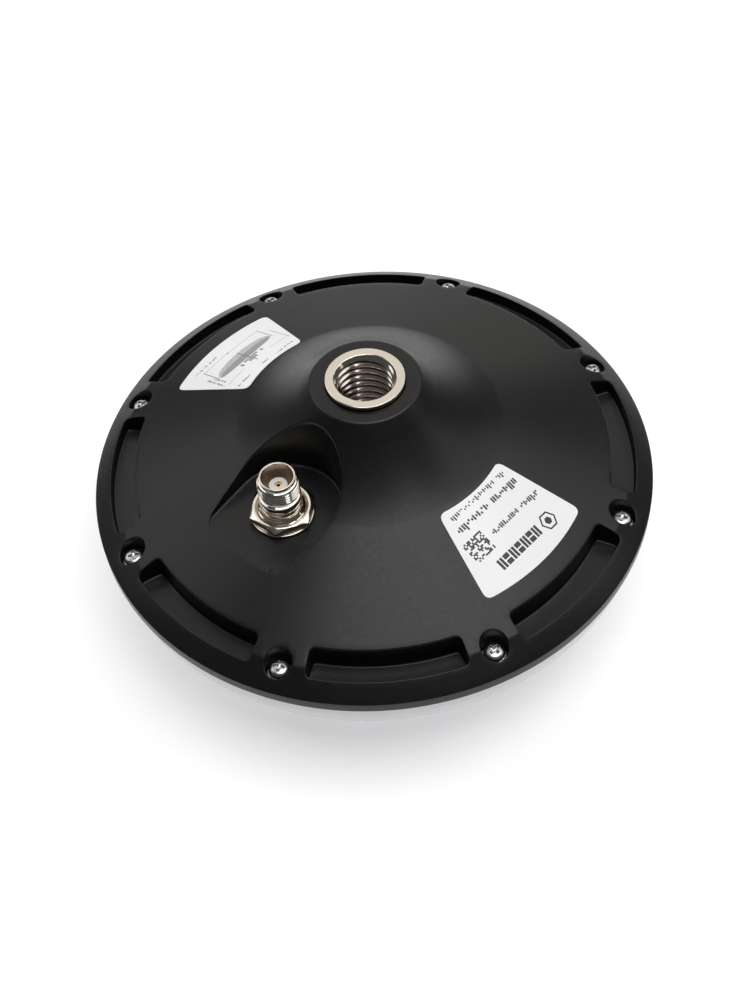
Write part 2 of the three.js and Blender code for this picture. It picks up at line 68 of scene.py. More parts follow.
# ---- Sizes read from the frame ----
BASE_HIGH = box_mm("base_housing")[1]
RADOME_HIGH = box_mm("radome")[1]
INSERT_LOW, INSERT_HIGH = box_mm("thread_insert")
JACK_LOW, JACK_HIGH = box_mm("tnc_body")
NUT_LOW, NUT_HIGH = box_mm("tnc_hex_nut")
JACK = centre_mm("tnc_body")[:2]
PAD_Z = box_mm("tnc_washer")[0][2] - 0.3
RIM_R = BASE_HIGH[0]
BOSS_TOP_Z = BASE_HIGH[2]
TOP_Z = INSERT_HIGH[2]
RADOME_R = RADOME_HIGH[0]
SEAM_Z = box_mm("perimeter_seal")[0][2]
SCREWS = [centre_mm(f"cover_screw_{i}")[:2] for i in range(1, 9)]
SCREW_TOP_Z = box_mm("cover_screw_1")[1][2]
WASHER_Z = box_mm("cover_washer_1")[0][2]

# ---- Shape of the base, measured across the cone ----
CREASE_R, CREASE_Z = 69.5, 32.1  # cone to the steeper outer band
RIM_TOP_Z = 27.7  # upper edge of the upright rim face
CONE_SLOPE = 0.384
FLANK_R, FLANK_TOP = 35.2, (18.1, 57.26)
FLANK_CONTROL = (26.8, 49.3)
SHOULDER_R = 14.9
WALL = 3.3  # upright thickness of the cone
FLANK_WALL = 4.2  # upright thickness under the flank
HOLLOW_R = 62.5  # inner edge of the joint plane
SEAL_GROOVE = {"inner": 72.7, "outer": 74.7, "depth": 1.4}
COLUMN = {"r": 12.4, "low_z": 34.8, "top_z": 54.0}  # stands round the insert, inside the housing
SEAT_R = INSERT_HIGH[0] + 0.25
SEAT = {"z": 59.8, "bore_r": 9.3, "floor_z": 38.0}  # what the insert is pressed into
SLOT = {"inner": 64.4, "outer": 71.3, "half_span": 16.55, "corner": 1.7, "floor_z": 27.1}
BORE_R, BORE_FLOOR_Z = 3.6, WASHER_Z - 0.3  # wells of the cover screws
SCREW_HOLE_R = 1.8
JACK_HOLE_R = 6.6
POCKET = {"centre_y": -32.0, "arch_r": 14.9, "taper": 6.0, "corner": 4.5, "wall": 2.6}
TURN_STEPS = 288  # columns round the base
MATERIALS = {m["slot"]: m for m in frame["record"]["materials"]}


def cone_z(r):
    return CREASE_Z + CONE_SLOPE * (CREASE_R - r)


# ---- Section curves ----
def bezier(start, control, end, steps):
    t = np.linspace(0, 1, steps + 1)[:, None]
    start, control, end = (np.array(p, float) for p in (start, control, end))
    return (1 - t) ** 2 * start + 2 * t * (1 - t) * control + t**2 * end


def rounded(corners, steps=4):
    """Polyline through (a, b, fillet) corners, each fillet a short curve tangent to both sides."""
    points = [np.array(corners[0][:2], float)]
    for before, here, after in zip(corners, corners[1:], corners[2:]):
        corner = np.array(here[:2], float)
        if len(here) < 3 or here[2] <= 0:
            points.append(corner)
            continue
        back = np.array(before[:2], float) - corner
        on = np.array(after[:2], float) - corner
        lengths = np.linalg.norm(back), np.linalg.norm(on)
        back, on = back / lengths[0], on / lengths[1]
        opening = math.acos(max(-1.0, min(1.0, float(back @ on))))
        reach = min(here[2] / math.tan(opening / 2), 0.49 * lengths[0], 0.49 * lengths[1])
        points.extend(bezier(corner + back * reach, corner, corner + on * reach, steps))
    points.append(np.array(corners[-1][:2], float))
    return np.array(points)


def circle(radius, steps, centre=(0.0, 0.0)):
    angles = np.arange(steps) * TAU / steps
    return np.stack([centre[0] + radius * np.cos(angles), centre[1] + radius * np.sin(angles)], 1)


# ---- Mesh building ----
WELD = 0.002  # points closer than this become one


def new_object(name, verts, faces, material, sharp=40.0):
    """Closed mesh object from millimetre points: welded, faces out, smooth but for sharp edges."""
    mesh = bpy.data.meshes.new(name)
    mesh.from_pydata((np.asarray(verts) * MM).tolist(), [], faces)
    build = bmesh.new()
    build.from_mesh(mesh)
    bmesh.ops.remove_doubles(build, verts=build.verts, dist=WELD * MM)
    bmesh.ops.dissolve_degenerate(build, edges=build.edges, dist=WELD * MM * 0.2)
    bmesh.ops.recalc_face_normals(build, faces=build.faces)
    for face in build.faces:
        face.smooth = True
    for edge in build.edges:
        if len(edge.link_faces) == 2 and edge.calc_face_angle(0.0) > math.radians(sharp):
            edge.smooth = False
    build.to_mesh(mesh)
    build.free()
    mesh.materials.append(material)
    obj = bpy.data.objects.new(name, mesh)
    bpy.context.scene.collection.objects.link(obj)
    return obj


def piece(name, verts, faces, material, slot, nodes=(), **options):
    """A new piece of the object: built, riding on its body, and hiding the nodes it replaces. The slot is not
    used.
    """
    obj = new_object(name, verts, faces, material, **options)
    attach(obj, BODY)
    if nodes:
        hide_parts(*nodes)
    return obj


def turned(section, steps, centre=(0.0, 0.0), closed=False, wraps=()):
    """Points and faces of a turned body. section is (radius, height) points, or gives them for an angle.
    steps is the number of columns, or their angles. wraps holds (start, stop, shift) of the rows of a
    thread, which come back one pitch further on."""
    angles = np.arange(steps) * TAU / steps if np.isscalar(steps) else steps
    columns = [section(a) if callable(section) else section for a in angles]
    count = len(columns[0])
    verts = []
    for angle, column in zip(angles, columns):
        r, z = np.asarray(column)[:, 0], np.asarray(column)[:, 1]
        verts.append(np.stack([centre[0] + r * math.cos(angle), centre[1] + r * math.sin(angle), z], 1))
    meets = list(range(count))
    for start, stop, shift in wraps:
        for k in range(start, stop):
            meets[k] = min(stop - 1, max(start, k + shift))
    faces = []
    for i in range(len(angles)):
        j = (i + 1) % len(angles)
        for k in range(count if closed else count - 1):
            n = (k + 1) % count
            far_k, far_n = (k, n) if j else (meets[k], meets[n])
            faces.append((i * count + k, j * count + far_k, j * count + far_n, i * count + n))
    return np.concatenate(verts), faces


THREAD_SHARES = (0.0, 0.03, 0.09, 0.12, 0.40, 0.46, 0.54, 0.60, 0.88, 0.94, 1.0)  # of one pitch
THREAD_HEIGHTS = (0.0, 0.0, 0.03, 0.1, 0.92, 1.0, 1.0, 0.92, 0.1, 0.03, 0.0)  # of one tooth, at each share
THREAD_SPLITS = 4  # rows from one share to the next
ROWS_PER_TURN = (len(THREAD_SHARES) - 1) * THREAD_SPLITS


def thread(z_low, z_high, pitch, flat_r, tooth_r):
    """Radius and height samples of a helical 60-degree thread, for one column at an angle.
    flat_r is the radius between teeth and tooth_r the radius at their tips."""
    turns = int((z_high - z_low) / pitch) + 2
    steps = np.arange(ROWS_PER_TURN) / THREAD_SPLITS
    marks = np.arange(len(THREAD_SHARES))
    finer = np.interp(steps, marks, THREAD_SHARES)
    s = (np.arange(-1, turns)[:, None] + finer[None, :]).ravel()
    tip = np.tile(np.interp(steps, marks, THREAD_HEIGHTS), turns + 1)

    def column(angle):
        z = z_low + pitch * (s + angle / TAU)
        r = flat_r + (tooth_r - flat_r) * tip
        return np.stack([r, np.clip(z, z_low, z_high)], 1)

    return column


GRID_CLEARANCE = 0.45  # grid points nearer to an outline than this are left out


class Shell:
    """Collects rings and filled regions of one closed body."""

    def __init__(self):
        self.verts = []
        self.faces = []

    def ring(self, xy, z):
        start = len(self.verts)
        heights = np.broadcast_to(z, (len(xy),))
        self.verts.extend((float(x), float(y), float(h)) for (x, y), h in zip(xy, heights))
        return list(range(start, len(self.verts)))

    def loft(self, first, second):
        count = len(first)
        for i in range(count):
            j = (i + 1) % count
            self.faces.append((first[i], first[j], second[j], second[i]))

    def chain(self, rings):
        for first, second in zip(rings, rings[1:]):
            self.loft(first, second)

    def fill(self, loops, height=None, grid=()):
        """Triangulates the region between rings, with extra grid points at the given height."""
        outlines = [np.array([self.verts[i][:2] for i in loop]) for loop in loops]
        grid = np.asarray(grid, float).reshape(-1, 2)
        if len(grid):
            grid = grid[inside(grid, outlines)]
            near = kdtree.KDTree(sum(len(o) for o in outlines))
            for i, (x, y) in enumerate(np.concatenate(outlines)):
                near.insert((x, y, 0), i)
            near.balance()
            clear = [p for p in grid if near.find((p[0], p[1], 0))[2] > GRID_CLEARANCE]
            grid = np.array(clear).reshape(-1, 2)
        flat = [i for loop in loops for i in loop]
        extra = self.ring(grid, height(grid)) if len(grid) else []
        index = flat + extra
        coords = [Vector(self.verts[i][:2]) for i in index]
        edges, start = [], 0
        for loop in loops:
            count = len(loop)
            edges += [(start + i, start + (i + 1) % count) for i in range(count)]
            start += count
        points, _, faces, origin, _, _ = delaunay_2d_cdt(coords, edges, [], 0, 1e-7, True)
        middles = np.array([np.mean([points[i] for i in face], axis=0) for face in faces])
        kept = inside(middles, outlines)
        for face, keep in zip(faces, kept):
            if keep:
                self.faces.append(tuple(index[origin[i][0]] for i in face))


def inside(points, outlines):
    """True for points inside an odd number of the closed outlines."""
    result = np.zeros(len(points), bool)
    for outline in outlines:
        low, high = outline.min(0), outline.max(0)
        pick = np.nonzero(((points > low) & (points < high)).all(1))[0]
        if not len(pick):
            continue
        x, y = points[pick, 0][:, None], points[pick, 1][:, None]
        x1, y1 = outline[:, 0], outline[:, 1]
        x2, y2 = np.roll(x1, -1), np.roll(y1, -1)
        spans = (y1 > y) != (y2 > y)
        with np.errstate(divide="ignore", invalid="ignore"):
            cross = x < (x2 - x1) * (y - y1) / (y2 - y1) + x1
        result[pick] ^= (np.sum(spans & cross, axis=1) % 2).astype(bool)
    return result


def outward(outline):
    """Unit normals of a closed counter-clockwise outline, pointing out of it."""
    tangent = np.roll(outline, -1, 0) - np.roll(outline, 1, 0)
    tangent /= np.linalg.norm(tangent, axis=1)[:, None]
    return np.stack([tangent[:, 1], -tangent[:, 0]], 1)


SINK_STEPS = 5  # rings round each edge of a recess


def sink(shell, outline, height, floor_z, edge, fillet, draft):
    """Rings of a recess from the surface `height` down to a flat floor. Returns (top ring, floor ring).
    edge and fillet round its rim and its foot, and draft narrows it by that share of its depth."""
    normal = outward(outline)
    depth = np.maximum(height(outline) - floor_z, 0.0)
    round_top = np.minimum(edge, 0.45 * depth)[:, None]
    round_low = np.minimum(fillet, 0.45 * depth)[:, None]
    rings = []
    for turn in np.linspace(0, math.pi / 2, SINK_STEPS + 1):
        xy = outline + normal * round_top * (1 - math.sin(turn))
        rings.append(shell.ring(xy, height(xy) - round_top[:, 0] * (1 - math.cos(turn))))
    low_z = floor_z + round_low[:, 0]
    for turn in np.linspace(0, math.pi / 2, SINK_STEPS + 1):
        inset = draft * depth[:, None] + round_low * (1 - math.cos(turn))
        rings.append(shell.ring(outline - normal * inset, low_z - round_low[:, 0] * math.sin(turn)))
    shell.chain(rings)
    return rings[0], rings[-1]


CORNER_STEPS = 7
SIDE_BOW = 0.08  # keeps the points of a straight side off one line, by a fiftieth of a millimetre


def sector(inner, outer, half_span, corner, middle, spacing=0.9):
    """Closed outline of a ring sector centred on azimuth `middle` in degrees, with rounded corners."""
    half = math.radians(half_span)
    sides = max(2, round((outer - inner - 2 * corner) / spacing))
    points = []

    def at(r, angle):
        turn = angle + math.radians(middle)
        return np.array([r * math.cos(turn), r * math.sin(turn)])

    def arc(r, start, end):
        count = max(2, round(abs(end - start) * r / spacing))
        points.extend(at(r, a) for a in np.linspace(start, end, count + 1)[1:-1])

    def bend(r_from, a_from, r_mid, a_mid, r_to, a_to):
        points.extend(bezier(at(r_from, a_from), at(r_mid, a_mid), at(r_to, a_to), CORNER_STEPS))

    def side(r_from, r_to, angle):
        for share in np.linspace(0, 1, sides + 1)[1:-1]:
            r = r_from + (r_to - r_from) * share
            bow = SIDE_BOW * share * (1 - share) / r
            points.append(at(r, angle * (1 + bow / half)))

    out_turn, in_turn = corner / outer, corner / inner
    bend(outer - corner, -half, outer, -half, outer, -half + out_turn)
    arc(outer, -half + out_turn, half - out_turn)
    bend(outer, half - out_turn, outer, half, outer - corner, half)
    side(outer - corner, inner + corner, half)
    bend(inner + corner, half, inner, half, inner, half - in_turn)
    arc(inner, half - in_turn, -half + in_turn)
    bend(inner, -half + in_turn, inner, -half, inner + corner, -half)
    side(inner + corner, outer - corner, -half)
    return np.array(points)


def pocket_outline(grow, end_r):
    """Arch behind the jack, sides closing in towards the rim, rounded into the arc where the pad
    runs out."""
    taper = math.radians(POCKET["taper"])
    arch_r = POCKET["arch_r"] + grow
    corner = POCKET["corner"] + grow
    centre = np.array([0.0, POCKET["centre_y"]])
    side_normal = np.array([math.cos(taper), -math.sin(taper)])  # out of the +X side
    along = np.array([-math.sin(taper), -math.cos(taper)])  # down the +X side
    start = centre + side_normal * arch_r
    offset = start - side_normal * corner
    b = float(offset @ along)
    c = float(offset @ offset) - (end_r - corner) ** 2
    hub = offset + along * (-b + math.sqrt(b * b - c))
    to_side = math.atan2(side_normal[1], side_normal[0])
    to_end = math.atan2(hub[1], hub[0])
    right = []
    for a in np.linspace(to_end, to_side, 12):
        right.append(hub + corner * np.array([math.cos(a), math.sin(a)]))
    foot = hub + side_normal * corner
    right.extend(foot + (start - foot) * t for t in np.linspace(0, 1, 16)[1:-1])
    for a in np.linspace(to_side, math.pi / 2, 30):
        right.append(centre + arch_r * np.array([math.cos(a), math.sin(a)]))
    left = [p * np.array([-1, 1]) for p in right[-2::-1]]
    arc_from = math.atan2(left[-1][1], left[-1][0])
    arc_to = math.atan2(right[0][1], right[0][0])
    ends = np.linspace(arc_from, arc_to, 24)[1:-1]
    end = [end_r * np.array([math.cos(a), math.sin(a)]) for a in ends]
    return np.array(right + left + end)


def polar_grid(r_low, r_high, step_r, step_along):
    """Staggered points between two radii, about step_along apart round each circle."""
    rings = []
    for k, r in enumerate(np.arange(r_low, r_high, step_r)):
        count = max(12, round(TAU * r / step_along))
        angles = (np.arange(count) + 0.5 * (k % 2)) * TAU / count
        rings.append(np.stack([r * np.cos(angles), r * np.sin(angles)], 1))
    return np.concatenate(rings)


# ---- Materials ----
def node(tree, kind, **values):
    made = tree.nodes.new(kind)
    for key, value in values.items():
        if key in made.inputs:
            made.inputs[key].default_value = value
        else:
            setattr(made, key, value)
    return made


def surface(name, slot, roughness, metallic=0.0, **sockets):
    """Material with a Principled shader in the slot's colour, with its tree, shader and position."""
    material = bpy.data.materials.new(name)
    material.use_nodes = True
    tree = material.node_tree
    shader = tree.nodes["Principled BSDF"]
    colour = list(MATERIALS[slot]["base_color"][:3]) + [1.0]
    shader.inputs["Base Color"].default_value = colour
    shader.inputs["Roughness"].default_value = roughness
    shader.inputs["Metallic"].default_value = metallic
    for key, value in sockets.items():
        shader.inputs[key.replace("_", " ")].default_value = value
    coords = node(tree, "ShaderNodeTexCoord")
    return material, tree, shader, coords.outputs["Object"]


def noise(tree, position, scale, detail=3.0, roughness=0.5):
    """Noise with features of about 1/scale metres."""
    made = node(tree, "ShaderNodeTexNoise", Scale=scale, Detail=detail, Roughness=roughness)
    tree.links.new(position, made.inputs["Vector"])
    return made.outputs["Fac"]


def spread(tree, value, low, high, start=0.3, end=0.7):
    """Maps a value between start and end to low-high."""
    made = node(tree, "ShaderNodeMapRange")
    for key, number in (("From Min", start), ("From Max", end), ("To Min", low), ("To Max", high)):
        made.inputs[key].default_value = number
    tree.links.new(value, made.inputs["Value"])
    return made.outputs["Result"]


def tint(tree, value, dark, light):
    """Colour between two RGB values by a 0-1 noise value."""
    ramp = node(tree, "ShaderNodeValToRGB")
    ramp.color_ramp.elements[0].position = 0.3
    ramp.color_ramp.elements[1].position = 0.7
    ramp.color_ramp.elements[0].color = (*dark, 1)
    ramp.color_ramp.elements[1].color = (*light, 1)
    tree.links.new(value, ramp.inputs["Fac"])
    return ramp.outputs["Color"]


def bump(tree, shader, value, distance, strength):
    made = node(tree, "ShaderNodeBump", Strength=strength, Distance=distance)
    tree.links.new(value, made.inputs["Height"])
    tree.links.new(made.outputs["Normal"], shader.inputs["Normal"])


def scaled(colour, factor):
    return tuple(min(1.0, c * factor) for c in colour[:3])


def grained_plastic():
    """Matte black moulding: fine even grain, and slight changes of tone over centimetres."""
    made, tree, shader, place = surface("black_moulding", "base_plastic", 0.5, Specular_IOR_Level=0.33)
    colour = scaled(MATERIALS["base_plastic"]["base_color"], 0.3)
    drift = noise(tree, place, 45, 4)
    tree.links.new(tint(tree, drift, scaled(colour, 0.88), scaled(colour, 1.18)), shader.inputs["Base Color"])
    grain = noise(tree, place, 2600, 4, roughness=0.65)
    tree.links.new(spread(tree, noise(tree, place, 900, 3), 0.3, 0.37), shader.inputs["Roughness"])
    bump(tree, shader, grain, 0.00003, 0.22)
    return made


def white_plastic():
    made, tree, shader, place = surface("white_radome", "radome_plastic", 0.32, Coat_Weight=0.15)
    colour = MATERIALS["radome_plastic"]["base_color"]
    drift = noise(tree, place, 30, 4)
    tree.links.new(tint(tree, drift, scaled(colour, 0.9), scaled(colour, 0.95)), shader.inputs["Base Color"])
    tree.links.new(spread(tree, noise(tree, place, 300, 4), 0.28, 0.38), shader.inputs["Roughness"])
    bump(tree, shader, noise(tree, place, 700, 3), 0.00002, 0.25)
    return made


def by_radius(tree, place, axis, dark_r, bright_r, open_z):
    """Mask of painted shade for plated metal: 1 at bright_r from the axis, falling to 0 at dark_r; 1
    everywhere above open_z.
    """
    moved = node(tree, "ShaderNodeVectorMath", operation="SUBTRACT")
    moved.inputs[1].default_value = (axis[0] * MM, axis[1] * MM, 0)
    tree.links.new(place, moved.inputs[0])
    parts = node(tree, "ShaderNodeSeparateXYZ")
    tree.links.new(moved.outputs["Vector"], parts.inputs["Vector"])
    flat = node(tree, "ShaderNodeCombineXYZ")
    tree.links.new(parts.outputs["X"], flat.inputs["X"])
    tree.links.new(parts.outputs["Y"], flat.inputs["Y"])
    radius = node(tree, "ShaderNodeVectorMath", operation="LENGTH")
    tree.links.new(flat.outputs["Vector"], radius.inputs[0])
    crest = spread(tree, radius.outputs["Value"], 0.0, 1.0, dark_r * MM, bright_r * MM)
    above = spread(tree, parts.outputs["Z"], 0.0, 1.0, open_z * MM, (open_z + 0.2) * MM)
    either = node(tree, "ShaderNodeMath", operation="MAXIMUM")
    tree.links.new(crest, either.inputs[0])
    tree.links.new(above, either.inputs[1])
    return either.outputs["Value"]


def plated(name, slot, low, high, marks=0.15, recess=None, root=(0, 0, 0), tone=1.0):
    """Plated or plain metal: a slightly uneven polish between roughness low and high, and painted shade and
    reflections in the colour `root` where `recess`, the last arguments of by_radius, says so."""
    made, tree, shader, place = surface(name, slot, low, 1.0)
    colour = scaled(MATERIALS[slot]["base_color"], tone)
    shade = tint(tree, noise(tree, place, 160, 2), scaled(colour, 0.98), scaled(colour, 1.02))
    # Painted shade and reflection: where the mask falls to 0, the metal takes the flat colour `root`
    if recess:
        crest = by_radius(tree, place, *recess)
        mix = node(tree, "ShaderNodeMixRGB", Color1=(*root, 1))
        tree.links.new(crest, mix.inputs["Fac"])
        tree.links.new(shade, mix.inputs["Color2"])
        shade = mix.outputs["Color"]
        polish = spread(tree, crest, 0.32, (low + high) / 2, 0.0, 1.0)
    else:
        polish = spread(tree, noise(tree, place, 350, 3), low, high)
    tree.links.new(shade, shader.inputs["Base Color"])
    tree.links.new(polish, shader.inputs["Roughness"])
    bump(tree, shader, noise(tree, place, 1800, 3), 0.000006, marks)
    return made


def plain(name, slot, roughness, variation=0.08, scale=200, tone=1.0):
    """Small or hidden parts: slight colour and polish variation."""
    made, tree, shader, place = surface(name, slot, roughness)
    colour = scaled(MATERIALS[slot]["base_color"], tone)
    drift = noise(tree, place, scale, 4)
    dark, light = scaled(colour, 1 - variation), scaled(colour, 1 + variation)
    tree.links.new(tint(tree, drift, dark, light), shader.inputs["Base Color"])
    polish = spread(tree, drift, roughness * 0.85, min(1.0, roughness * 1.15))
    tree.links.new(polish, shader.inputs["Roughness"])
    bump(tree, shader, noise(tree, place, scale * 6, 3), 0.00001, 0.2)
    return made


def ink(name, colour, roughness=0.4):
    made, tree, shader, place = surface(name, "label_film", roughness)
    drift = noise(tree, place, 2500, 2)
    tree.links.new(tint(tree, drift, scaled(colour, 0.85), scaled(colour, 1.15)), shader.inputs["Base Color"])
    return made


BLACK = grained_plastic()
WHITE = white_plastic()
NICKEL = plated("nickel_plate", "nickel_plate", 0.08, 0.15, 0.1)
PAINTED_ROOT_SHADE = ((0, 0), 7.75, 7.4, TOP_Z - 1.4)  # painted shade: dark grooves between the insert's crests, where the thread roots lie in shade
# Colour of the painted shade in the insert's thread roots
ROOT_SHADE_BROWN = (0.06, 0.033, 0.024)
INSERT_METAL = plated("nickel_insert", "nickel_plate", 0.1, 0.16, 0.04, PAINTED_ROOT_SHADE, ROOT_SHADE_BROWN, 0.86)
JACK_BORE_REFLECTION = (JACK, 4.2, 4.35, 53.9)  # painted reflection and shade: the inside of the connector's shell is coloured warm bronze
# Colour of the painted reflection and shade inside the connector's bore
PAINTED_BORE_BRONZE = (0.52, 0.4, 0.32)
JACK_METAL = plated("nickel_jack", "nickel_plate", 0.07, 0.13, 0.05, JACK_BORE_REFLECTION, PAINTED_BORE_BRONZE, 0.92)
STEEL = plated("stainless_steel", "stainless", 0.18, 0.3, tone=0.7)
GOLD = plated("gold_plate", "gold_plate", 0.18, 0.3)
PTFE = plain("ptfe", "ptfe", 0.45, variation=0.03, tone=0.75)
FILM = plain("label_film", "label_film", 0.24, variation=0.015, scale=60)
INK_BLACK = ink("print_black", (0.012, 0.012, 0.014))
INK_DARK_GREY = ink("print_dark_grey", (0.13, 0.13, 0.14))
INK_GREY = ink("print_grey", (0.32, 0.32, 0.33))
INK_PALE = ink("print_pale", (0.52, 0.52, 0.53))
RUBBER = plain("seal_rubber", "seal_rubber", 0.75)
ALUMINIUM = plated("plate_aluminium", "reflector_aluminium", 0.3, 0.45)
LAMINATE = plain("board_laminate", "board_laminate", 0.4, variation=0.2)
NYLON = plain("nylon", "nylon", 0.5)
TIN = plated("tinned_steel", "tinned_steel", 0.25, 0.4)
JACKET = plain("coax_jacket", "coax_jacket", 0.3)


# ---- Base housing ----
def base_profile():
    """(radius, height) of the outer face, from the insert's seat to the joint plane."""
    chamfer = (SEAT_R + 0.35, BOSS_TOP_Z, 0.2)
    shoulder = (SHOULDER_R - 0.5, BOSS_TOP_Z - 0.15, 1.1)
    boss = rounded([(SEAT_R, BOSS_TOP_Z - 0.25), chamfer, shoulder, FLANK_TOP], 8)
    flank_foot = (FLANK_R, cone_z(FLANK_R))
    hollow = bezier(FLANK_TOP, FLANK_CONTROL, flank_foot, 24)[:-2]
    cone = [(*flank_foot, 14.0), (CREASE_R, CREASE_Z, 2.2)]
    rim = [(RIM_R, RIM_TOP_Z, 0.35), (RIM_R, SEAM_Z + 0.25, 0.2), (RIM_R - 0.25, SEAM_Z)]
    outer = rounded([hollow[-1], *cone, *rim], 6)
    return np.concatenate([boss, hollow[1:], outer[1:]])


BASE_PROFILE = base_profile()
TOP_END = int(np.argmax(BASE_PROFILE[:, 0] > RIM_R - 0.25))  # last profile point of the filled region


def base_height(xy):
    r = np.linalg.norm(np.asarray(xy).reshape(-1, 2), axis=1)
    return np.interp(r, BASE_PROFILE[: TOP_END + 1, 0], BASE_PROFILE[: TOP_END + 1, 1])


def inner_height(xy):
    """Inside face of the cone and boss."""
    r = np.linalg.norm(np.asarray(xy).reshape(-1, 2), axis=1)
    under_top = (FLANK_TOP[0], FLANK_TOP[1] - FLANK_WALL)
    under_flank = (FLANK_CONTROL[0], FLANK_CONTROL[1] - FLANK_WALL)
    curve = bezier(under_top, under_flank, (FLANK_R, cone_z(FLANK_R) - WALL), 16)
    radii = np.concatenate([[COLUMN["r"]], curve[:, 0], [HOLLOW_R]])
    heights = np.concatenate([[COLUMN["top_z"]], curve[:, 1], [cone_z(HOLLOW_R) - WALL]])
    return np.interp(r, radii, heights)


def build_base():
    shell = Shell()
    profile = BASE_PROFILE

    # outer face between the seat and the rim
    inner_ring = shell.ring(circle(profile[0, 0], TURN_STEPS), profile[0, 1])
    outer_ring = shell.ring(circle(profile[TOP_END, 0], TURN_STEPS), profile[TOP_END, 1])
    loops, holes = [outer_ring, inner_ring], []
    for k in range(8):
        outline = sector(SLOT["inner"], SLOT["outer"], SLOT["half_span"], SLOT["corner"], 45 * k)
        top, floor = sink(shell, outline, base_height, SLOT["floor_z"], edge=0.3, fillet=0.6, draft=0.015)
        loops.append(top)
        shell.fill([floor])
    for x, y in SCREWS:
        well, hole_edge = circle(BORE_R, 64, (x, y)), circle(SCREW_HOLE_R, 32, (x, y))
        top, floor = sink(shell, well, base_height, BORE_FLOOR_Z, edge=0.25, fillet=0.3, draft=0.01)
        loops.append(top)
        hole = shell.ring(hole_edge, BORE_FLOOR_Z)
        shell.fill([floor, hole])
        foot = shell.ring(hole_edge, SEAM_Z)
        shell.loft(hole, foot)
        holes.append(foot)
    pad_end = CREASE_R - (PAD_Z - CREASE_Z) / CONE_SLOPE
    pocket = pocket_outline(0, pad_end)
    top, floor = sink(shell, pocket, base_height, PAD_Z, edge=0.5, fillet=0.7, draft=0.008)
    loops.append(top)
    jack_hole = shell.ring(circle(JACK_HOLE_R, 64, JACK), PAD_Z)
    pad_grid = polar_grid(18, pad_end, 1.8, 1.8)
    shell.fill([floor, jack_hole], lambda xy: np.full(len(xy), PAD_Z), pad_grid)
    curved = [r for r in profile[6:TOP_END, 0] if r < FLANK_R + 1.0 or r > CREASE_R - 1.5]
    fine = [polar_grid(r, r + 0.01, 1, 1.1) for r in curved]  # one circle at each
    cone_grid = polar_grid(FLANK_R + 1.6, CREASE_R - 1.6, 1.3, 1.5)
    band_grid = polar_grid(CREASE_R + 1.1, RIM_R - 0.9, 1.2, 1.2)
    shell.fill(loops, base_height, np.concatenate([*fine, cone_grid, band_grid]))

    # rim, joint plane with the seal groove, and the inside
    rim = [outer_ring] + [shell.ring(circle(r, TURN_STEPS), z) for r, z in profile[TOP_END + 1 :]]
    near_r, far_r, groove_z = SEAL_GROOVE["inner"], SEAL_GROOVE["outer"], SEAM_Z + SEAL_GROOVE["depth"]
    groove = [(far_r, SEAM_Z), (far_r, groove_z), (near_r, groove_z), (near_r, SEAM_Z)]
    rim += [shell.ring(circle(r, TURN_STEPS), z) for r, z in groove]
    shell.chain(rim)
    step = shell.ring(circle(HOLLOW_R, TURN_STEPS), SEAM_Z)
    shell.fill([rim[-1], step, *holes])
    eaves = shell.ring(circle(HOLLOW_R, TURN_STEPS), cone_z(HOLLOW_R) - WALL)
    shell.loft(step, eaves)

    # pocket wall and insert column under the cone
    case = pocket_outline(POCKET["wall"], pad_end - 0.2)
    case_top = shell.ring(case, inner_height(case))
    case_floor = shell.ring(case, PAD_Z - WALL)
    shell.loft(case_top, case_floor)
    jack_low = shell.ring(circle(JACK_HOLE_R, 64, JACK), PAD_Z - WALL)
    shell.fill([case_floor, jack_low])
    shell.loft(jack_hole, jack_low)
    column = circle(COLUMN["r"], 96)
    column_top = shell.ring(column, inner_height(column))
    column_low = shell.ring(column, COLUMN["low_z"])
    shell.loft(column_top, column_low)
    shell.fill([column_low])
    shell.fill([eaves, case_top, column_top], inner_height, polar_grid(14, HOLLOW_R - 1, 3, 3))

    # seat of the insert
    seat = [(SEAT_R, SEAT["z"]), (SEAT["bore_r"], SEAT["z"]), (SEAT["bore_r"], SEAT["floor_z"])]
    rings = [inner_ring] + [shell.ring(circle(r, TURN_STEPS), z) for r, z in seat]
    shell.chain(rings)
    shell.fill([rings[-1]])
    piece("base_shell", shell.verts, shell.faces, BLACK, "base_plastic", ["base_housing"], sharp=50)


# ---- Radome ----
def build_radome():
    wall, lip_r, lip_depth = 2.2, 71.8, 3
    top = RADOME_HIGH[2]

    def dome(inset):
        """Section from the axis to just short of the lip, moved inwards by inset."""
        apex = bezier((10, inset), (36, 1.6 + inset), (58 - 0.3 * inset, 4.6 + inset), 20)
        t = np.linspace(0, 1, 29)[1:, None]
        p0, p1 = apex[-1], np.array([66 - 0.4 * inset, 6 + inset])
        p2, p3 = np.array([RADOME_R - inset, 12.0]), np.array([RADOME_R - inset, top - 0.7])
        side = (1 - t) ** 3 * p0 + 3 * t * (1 - t) ** 2 * p1 + 3 * t**2 * (1 - t) * p2 + t**3 * p3
        return np.concatenate([[(0, inset)], apex, side])

    outer, inner = dome(0.0), dome(wall)
    lip = rounded(
        [outer[-1], (RADOME_R, top, 0.35), (lip_r, top, 0.2), (lip_r, top - lip_depth),
         (RADOME_R - wall, top - 4.2)], 4)
    inner = inner[inner[:, 1] < top - 4.4][::-1]
    verts, faces = turned(np.concatenate([outer, lip[1:], inner]), TURN_STEPS)
    piece("radome_shell", verts, faces, WHITE, "radome_plastic", ["radome"])


